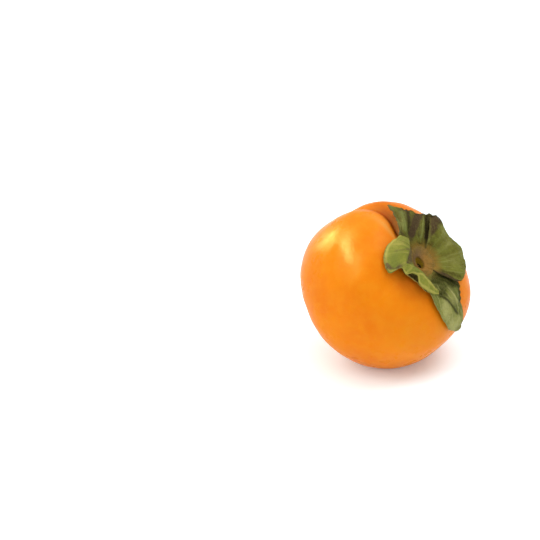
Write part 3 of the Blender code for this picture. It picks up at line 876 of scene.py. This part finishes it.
UPPER_LENGTH = (
    (-1, 23.6), (-0.76, 23.8), (-0.45, 23), (-0.165, 23.4), (0, 24.7), (0.3, 25.7), (0.56, 26.6),
    (0.8, 28.5), (0.9, 29.8), (1, 29.9),
)
UPPER_LOW = ((0, 126), (0.5, 128), (1, 129))
UPPER_HIGH = (
    (0, 200), (0.2, 204), (0.44, 203), (0.484, 197.5), (0.55, 192.5), (0.61, 188.5), (0.706, 184.5),
    (0.82, 180.4), (0.9, 179.6), (1, 178),
)
UPPER_FIRST_RIDGE = ((164, 26), (171, 22.5), (177, 20), (188, 16.8), (199, 14.4))
UPPER_SECOND_RIDGE = ((141, 25), (144, 20), (146, 16.5), (149, 12.5), (152, 9))
UPPER_LIFT, UPPER_RISE = 0.85, 0.5
UPPER_WAVE, UPPER_WAVE_RATE = 0.3, 7.0
CUP_HEIGHT = 2.4


def upper_sheet(across, along):
    """A fan between its two side edges, with two ridges, a valley, and an end that cups up."""
    azimuth, reach = between(across, along, UPPER_LENGTH, UPPER_LOW, UPPER_HIGH)
    lift = UPPER_LIFT + along * (UPPER_RISE + UPPER_WAVE * np.cos(UPPER_WAVE_RATE * across))
    lift = lift + fold(azimuth, reach, UPPER_FIRST_RIDGE, height=1.5, left=1.6, right=2.6, ends=0.35)
    lift = lift + fold(azimuth, reach, UPPER_SECOND_RIDGE, height=2.0, left=1.5, right=2.2, ends=0.3)
    cup = held((along - 0.70) / 0.30) ** 1.5 * held((-0.25 - across) / 0.6)
    return azimuth, reach, lift + CUP_HEIGHT * cup


UPPER_SPOTS = (
    ("brown", 163, 21, 5, 4, 0.5), ("brown", 182, 12.5, 8, 2, 0.8), ("brown", 134, 12.5, 5, 3, 0.6),
    ("brown", 198, 17, 4, 5, 0.7), ("pale", 176, 29, 4, 3, 1), ("pale", 187, 18, 5, 5, 0.7),
    ("brown", 158, 25.5, 12, 1.2, 1),
)
# The dark streak next to the right sepal is painted shade in the valley between them, the dark streak
# beside the first ridge is painted shade on its side away from the lamps, and the pale streaks along both
# ridges are painted light on their sides facing the lamps.
UPPER_STREAKS = (
    ("dark", ((156, 26), (163, 22), (168, 19), (177, 16), (188, 13.2)), 1.2, 0.9),
    ("brown", ((142, 25), (148, 22), (158, 17.7), (169, 14.5), (181, 12.4)), 1.5, 1.9),
    ("pale", ((170, 25), (178, 20.5), (184, 18), (193, 15.5)), 0.9, 0.8),
    ("pale", ((141, 24), (146, 18), (151, 13.5), (156, 10)), 0.6, 0.7),
    ("dark", ((131, 25.5), (134, 19.7), (137, 15.8), (139, 11)), 1.8, 2.3),
    ("dark", ((150, 22), (154, 16), (160, 11)), 0.6, 0.6),
)
upper_sepal = add_sepal(
    "upper_sepal", upper_sheet, UPPER_SPOTS, UPPER_STREAKS,
    columns=200, rows=150, curl=0.2, torn=0.22, seed=60,
)
upper_leaf = leaf_finish(
    "leaf_upper",
    green=(0.106, 0.106, 0.015), pale=(0.15, 0.162, 0.04), dark=(0.08, 0.064, 0.011),
    deep=(0.028, 0.02, 0.005), stain=(0.052, 0.029, 0.015), rim=(0.11, 0.08, 0.035), root=0.9,
)
dress_sepal(upper_sepal, upper_leaf, "sepal_upper")

# ------------
# The left sepal: it curled as it dried. One side rises from the seat to a crest and flops out in
# a broad flap, and the other is rolled into a narrow tongue whose free end lies over the lower
# sepal.

# Its ribs: how far across each one stands, then for each, from root to margin, the azimuths, the
# reaches and the lifts of its points, and last how far along these are.
LEFT_ACROSS = (
    -1.00, -0.88, -0.72, -0.56, -0.42, -0.32, -0.25, -0.10, 0.06, 0.20, 0.34, 0.50, 0.68, 0.86, 1.00,
)
LEFT_TURN = (
    (206, 203, 202, 203, 205, 206, 206.5, 206.5),
    (216, 213, 212, 212, 212, 212, 212, 212),
    (228, 226, 225, 224, 225, 225, 225, 225),
    (238, 237, 236, 237, 238, 238, 238, 238),
    (247, 247, 247, 249, 251, 252, 252, 252),
    (253, 254, 255, 257, 260, 263, 264, 263.5),
    (257, 258, 259, 260, 261, 263, 263, 262),
    (266, 267, 268, 270, 273, 275, 273, 272),
    (279, 279, 279, 280, 280, 280, 280, 280),
    (291, 291, 291, 291, 292, 293, 291, 290),
    (302, 302, 302, 303, 303, 303, 303, 303),
    (311, 312, 313, 314, 315, 317, 315, 314),
    (321, 322, 323, 325, 326, 328, 327, 327),
    (332, 333, 334, 335, 336, 337, 337, 336),
    (341, 342, 342, 343, 343, 343, 343, 343),
)
LEFT_REACH = (
    (6.5, 10, 12.6, 14.4, 15.6, 16.4, 16.6, 16.5),
    (6.5, 10.4, 12.2, 14.6, 16.3, 16.7, 16.9, 16.7),
    (6.5, 10.3, 11.9, 15, 17.4, 19.4, 19.6, 19.4),
    (6.5, 10.2, 11.9, 15.5, 19, 21.7, 21.9, 21.7),
    (6.5, 11, 13.6, 17, 20.4, 23, 23.2, 23),
    (6.5, 12, 15, 18, 20.6, 22.3, 22.5, 22.3),
    (6.5, 12.3, 15.3, 16.6, 17.8, 18, 18.2, 18),
    (6.5, 10.6, 12.8, 14, 15.6, 16.5, 16.2, 15.6),
    (6.5, 9.4, 11.2, 12.1, 13.1, 13.9, 13.9, 14.9),
    (6.5, 8.8, 10.4, 11.2, 11.8, 12.4, 12.8, 14.2),
    (6.5, 8.8, 10.4, 12, 13.5, 14.8, 13.9, 13.9),
    (9.4, 10.6, 11.2, 12, 13.4, 15.7, 15, 15.2),
    (11.8, 12, 12.4, 13, 14.2, 16.5, 15.9, 16.2),
    (13.8, 14, 14.4, 15, 16, 17, 17.1, 16.9),
    (15.5, 15.6, 15.8, 16.1, 16.5, 17, 17, 16.9),
)
LEFT_LIFT = (
    (0.9, 1.4, 3.2, 3.3, 2.8, 2.3, 1.9, 1.6),
    (0.9, 1.6, 3.8, 3.9, 2.9, 2, 1.5, 1.1),
    (0.9, 1.6, 3.9, 3.8, 2.7, 1.7, 1.3, 1),
    (0.9, 1.6, 3.9, 3.7, 2.5, 1.4, 1.1, 0.8),
    (0.9, 1.7, 3.6, 3.2, 2.2, 1.3, 1, 0.8),
    (0.9, 1.8, 3.6, 2.9, 2.1, 1.5, 1.1, 0.8),
    (0.9, 1.9, 3.5, 3.2, 2.8, 2.5, 2, 1.5),
    (0.9, 1.6, 3.8, 3.8, 3.1, 2.6, 1.5, 0.8),
    (0.9, 1.6, 3.9, 4, 3.7, 3.2, 1.5, 0.7),
    (0.9, 1.7, 3.9, 4, 3.7, 3.2, 1.5, 0.7),
    (0.9, 1.8, 3.9, 3.9, 3.3, 2.6, 1.4, 0.7),
    (3, 3.5, 3.8, 3.9, 3.5, 2.4, 1.4, 0.7),
    (3.3, 3.5, 3.7, 3.8, 3.5, 2.3, 1.5, 0.8),
    (3.2, 3.3, 3.4, 3.3, 2.9, 2.5, 2.2, 2),
    (3, 3, 3, 3, 2.9, 2.7, 2.6, 2.5),
)
LEFT_ALONG = (0.0, 0.16, 0.32, 0.48, 0.64, 0.78, 0.89, 1.0)


def left_sheet(across, along):
    """A net of ribs, smoothed across from rib to rib and then along each rib."""
    ribs = np.stack([LEFT_TURN, LEFT_REACH, LEFT_LIFT], axis=-1)
    spread = curve(across[:, 0], np.array(LEFT_ACROSS), ribs)
    return curve(along[0], np.array(LEFT_ALONG), spread.transpose(1, 0, 2)).T


# The wide brown spots at azimuth 214 and 242, on the inner wall, are partly its own colour and partly
# painted shade.
LEFT_SPOTS = (
    ("brown", 257, 22.6, 5, 1, 1), ("brown", 261, 18, 3, 1.5, 0.8), ("brown", 246, 22.6, 6, 0.7, 0.6),
    ("pale", 222, 16, 6, 3, 0.6), ("pale", 232, 17, 4, 3, 0.3), ("brown", 214, 8.8, 16, 2.3, 1.6),
    ("brown", 242, 9.5, 16, 2.6, 1.9), ("brown", 258, 13, 4, 1.6, 1), ("brown", 336, 14.8, 1.5, 0.5, 1),
)
# The pale streak along the crest of the tongue is a painted highlight.
LEFT_STREAKS = (
    ("brown", ((230, 12), (235, 15), (240, 19)), 0.5, 0.5),
    ("brown", ((219, 12), (219, 15), (220, 18)), 0.4, 0.4),
    ("brown", ((252, 22.6), (257, 22.2), (261, 20.6), (262, 18.2)), 0.5, 0.6),
    ("pale", ((285, 12.6), (300, 11.6), (318, 12.6), (332, 14.6), (341, 16)), 0.5, 0.9),
)
# Its folded-under part gets painted shade, with a painted highlight along the crease above it.
left_sepal = add_sepal(
    "left_sepal", left_sheet, LEFT_SPOTS, LEFT_STREAKS,
    columns=260, rows=120, curl=0.0, torn=0.13, seed=70, tuck_shading=(-0.31, 0.76, 0.80),
)
left_leaf = leaf_finish(
    "leaf_left",
    green=(0.2, 0.205, 0.03), pale=(0.33, 0.29, 0.062), dark=(0.15, 0.165, 0.028),
    deep=(0.022, 0.012, 0.002), stain=(0.1, 0.068, 0.032), rim=(0.42, 0.29, 0.07), root=0.0,
)
dress_sepal(left_sepal, left_leaf, "sepal_left")

# ------------
# The style's tip: the dried thread of the flower's style, left standing in the dimple at the
# blossom end. It is brittle, black-brown, and thicker at its foot.

STYLE_SECTION = ((0.0, 0.8), (0.12, 0.66), (0.35, 0.48), (0.7, 0.38), (0.92, 0.3), (1.0, 0.1))
STYLE_LENGTH, STYLE_POINT = 1.8 * MM, 0.05 * MM
STYLE_BEND = 0.35 * MM
STYLE_ROOT = 0.1 * MM
STYLE_AROUND = 64
STYLE_STEPS = 40

share = np.linspace(0.0, 1.0, STYLE_STEPS)[:, None]
azimuth, circle = all_round(STYLE_AROUND)
thick = through(share, STYLE_SECTION) * (1.0 + 0.12 * ripple(circle + share[..., None], 0.8, 81)) * MM
foot = STYLE_ROOT - float(skin_radius(math.pi) * lobe_swell(math.pi, 0.0))
bent = thick * np.cos(azimuth) + STYLE_BEND * share**2
places = points_at(bent, thick * np.sin(azimuth), foot - STYLE_LENGTH * share).reshape(-1, 3)
tips = [[0.0, 0.0, foot], [STYLE_BEND, 0.0, foot - STYLE_LENGTH - STYLE_POINT]]
places = lay_over(np.concatenate([places, tips]))
style_tip = add_piece("dried_style", places, turned_faces(STYLE_STEPS, STYLE_AROUND), {})

STYLE_DARK, STYLE_LIGHT = (0.018, 0.01, 0.005), (0.09, 0.05, 0.025)


def dried_style_finish():
    """Black-brown, a little lighter on its raised fibres."""
    material, tree, shader, where = new_finish("dried_style")
    fibres = cloud(tree, where, 0.4 * MM, 3.0, 0.6)
    colour = tint(tree, fibres, STYLE_DARK, STYLE_LIGHT)
    dull = swing(tree, fibres, 0.3, 0.7, 0.7, 0.9)
    join_up(tree, shader, colour, dull, emboss(tree, fibres, 0.2 * MM), 0.5)
    return material


style_tip.data.materials.append(dried_style_finish())
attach(style_tip, "root")
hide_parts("style_tip")

# ------------
# The table: a plain white sheet that the fruit lies on, glowing faintly so that it stays white.
# It only belongs to the picture.

WHITE = (1.0, 1.0, 1.0, 1.0)
TABLE_HALF = 3.0
corners = np.array([[-1, -1, 0], [1, -1, 0], [1, 1, 0], [-1, 1, 0]]) * TABLE_HALF
table = add_piece("white_table", corners, [np.array([[0, 1, 2, 3]])], {})
table_paint, _, shader, _ = new_finish("white_table")
set_on(shader, {"Base Color": (0.86, 0.95, 0.99, 1.0), "Roughness": 0.9, "Specular IOR Level": 0.1})
set_on(shader, {"Emission Color": WHITE, "Emission Strength": 0.15})
table.data.materials.append(table_paint)

# ------------
# The light: a white room, a broad soft lamp overhead that isn't mirrored, a smaller one on the
# right and one in front on the left, and the gleam of two window panes, which only shows in
# glossy surfaces.

room = bpy.data.worlds.new("white_room")
room.use_nodes = True
set_on(room.node_tree.nodes["Background"], {"Color": WHITE, "Strength": 0.60})
bpy.context.scene.world = room


def aimed(way):
    """The turn that points a lamp or a lens this way."""
    return way.to_track_quat("-Z", "Y").to_euler()


def hang_lamp(name, shines_from, energy, spread, mirrored=True):
    """A soft far-off lamp shining from this direction, spread over this many degrees. Glossy
    surfaces mirror it or they don't."""
    lamp = bpy.data.lights.new(name, "SUN")
    lamp.energy = energy
    lamp.angle = spread * DEG
    hung = put_in(name, lamp)
    hung.rotation_euler = aimed(-Vector(shines_from))
    hung.visible_glossy = mirrored


hang_lamp("overhead_lamp", (-0.10, 0.15, 1.0), energy=1.45, spread=80.0, mirrored=False)
hang_lamp("right_lamp", (0.45, 0.20, 0.85), energy=1.05, spread=35.0)
hang_lamp("front_lamp", (-0.70, -0.36, 0.62), energy=1.1, spread=40.0)

middle = Vector(SEAT)
PANE_AWAY = 0.9


def open_window(name, seen_towards, width, height, colour, power):
    """A bright pane seen from the fruit in this direction, for reflections alone."""
    lamp = bpy.data.lights.new(name, "AREA")
    lamp.shape = "RECTANGLE"
    lamp.size = width
    lamp.size_y = height
    lamp.energy = power
    lamp.color = colour
    pane = put_in(name, lamp)
    pane.location = middle + PANE_AWAY * Vector(seen_towards).normalized()
    pane.rotation_euler = aimed(middle - pane.location)
    pane.visible_camera = False
    pane.visible_diffuse = False


open_window("window_corner", (-0.72, 0.61, 0.35), 0.22, 0.34, (0.95, 0.86, 0.25), power=17.0)
open_window("window_edge", (-0.54, -0.10, 0.82), 0.95, 0.24, (0.85, 0.80, 0.25), power=110.0)

# ------------
# The camera: a long lens two thirds of a metre off and well above the table. It looks down past
# the left side of the fruit.

ELEVATION = 27.0 * DEG
CAMERA_AWAY = 0.678
AIM_LEFT, AIM_UP = 0.05244, 0.00384
towards = Vector((0.0, -math.cos(ELEVATION), math.sin(ELEVATION)))
upward = Vector((0.0, math.sin(ELEVATION), math.cos(ELEVATION)))

lens = bpy.data.cameras.new("view")
lens.lens = 100.0
lens.sensor_width = 36.0
lens.clip_start = 0.01
lens.clip_end = 20.0
viewer = put_in("view", lens)
viewer.location = middle + towards * CAMERA_AWAY
aim = middle + Vector((-AIM_LEFT, 0.0, 0.0)) + upward * AIM_UP
viewer.rotation_euler = aimed(aim - viewer.location)
bpy.context.scene.camera = viewer
bpy.context.scene.view_settings.view_transform = "Standard"
